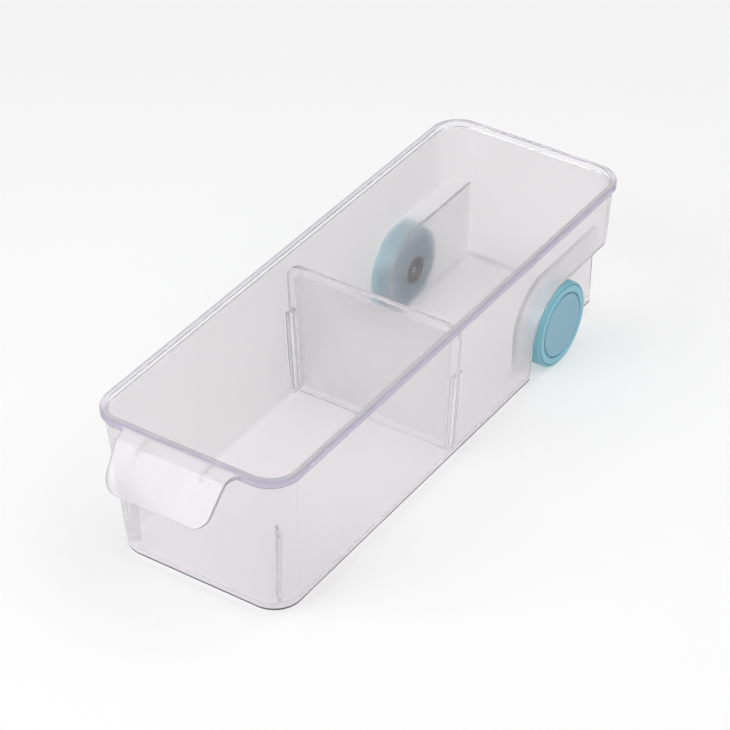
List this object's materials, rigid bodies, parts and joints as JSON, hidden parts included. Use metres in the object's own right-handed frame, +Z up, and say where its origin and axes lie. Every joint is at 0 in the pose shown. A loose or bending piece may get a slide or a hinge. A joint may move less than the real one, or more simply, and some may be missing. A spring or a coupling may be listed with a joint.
{
  "type": "fridge bin with lift-out divider and rear wheels",
  "caption": "Long clear tub with a sloping pull handle at the front, an upright lift-out divider held in rails, and a wheel in an arch on each side at the back.",
  "frame": {"origin": "on the shelf, under the middle of the bin's overall length and width", "axes": "+X across the bin, +Y towards the wheels and the back of the fridge, +Z up; the handle is at -Y"},
  "size_m": [0.115, 0.3546, 0.091],
  "materials": {
    "clear_body": "clear, with polished rim and handle and finely frosted walls",
    "clear_divider": "clear, with a polished frame and a frosted panel",
    "wheel_plastic": "satin turquoise",
    "cap_plastic": "finely textured turquoise",
    "soft_tyre": "soft matte turquoise",
    "bearing_plastic": "natural acetal"
  },
  "bodies": {
    "bin": {"bin_body": "clear_body", "thrust_washer_left": "bearing_plastic", "thrust_washer_right": "bearing_plastic", "axle_pin_left": "bearing_plastic", "axle_pin_right": "bearing_plastic"},
    "divider": {"divider": "clear_divider"},
    "wheel_left": {"wheel_hub_left": "wheel_plastic", "tyre_left": "soft_tyre", "hub_cap_left": "cap_plastic"},
    "wheel_right": {"wheel_hub_right": "wheel_plastic", "tyre_right": "soft_tyre", "hub_cap_right": "cap_plastic"}
  },
  "joints": [
    {"name": "divider_lift", "type": "slide", "parent": "bin", "child": "divider", "axis": [0, 0, 1], "range_m": [0, 0.09]},
    {"name": "wheel_left_spin", "type": "hinge", "parent": "bin", "child": "wheel_left", "pos_m": [-0.049, 0.1168, 0.0246], "axis": [1, 0, 0], "continuous": true},
    {"name": "wheel_right_spin", "type": "hinge", "parent": "bin", "child": "wheel_right", "pos_m": [0.049, 0.1168, 0.0246], "axis": [1, 0, 0], "continuous": true}
  ]
}
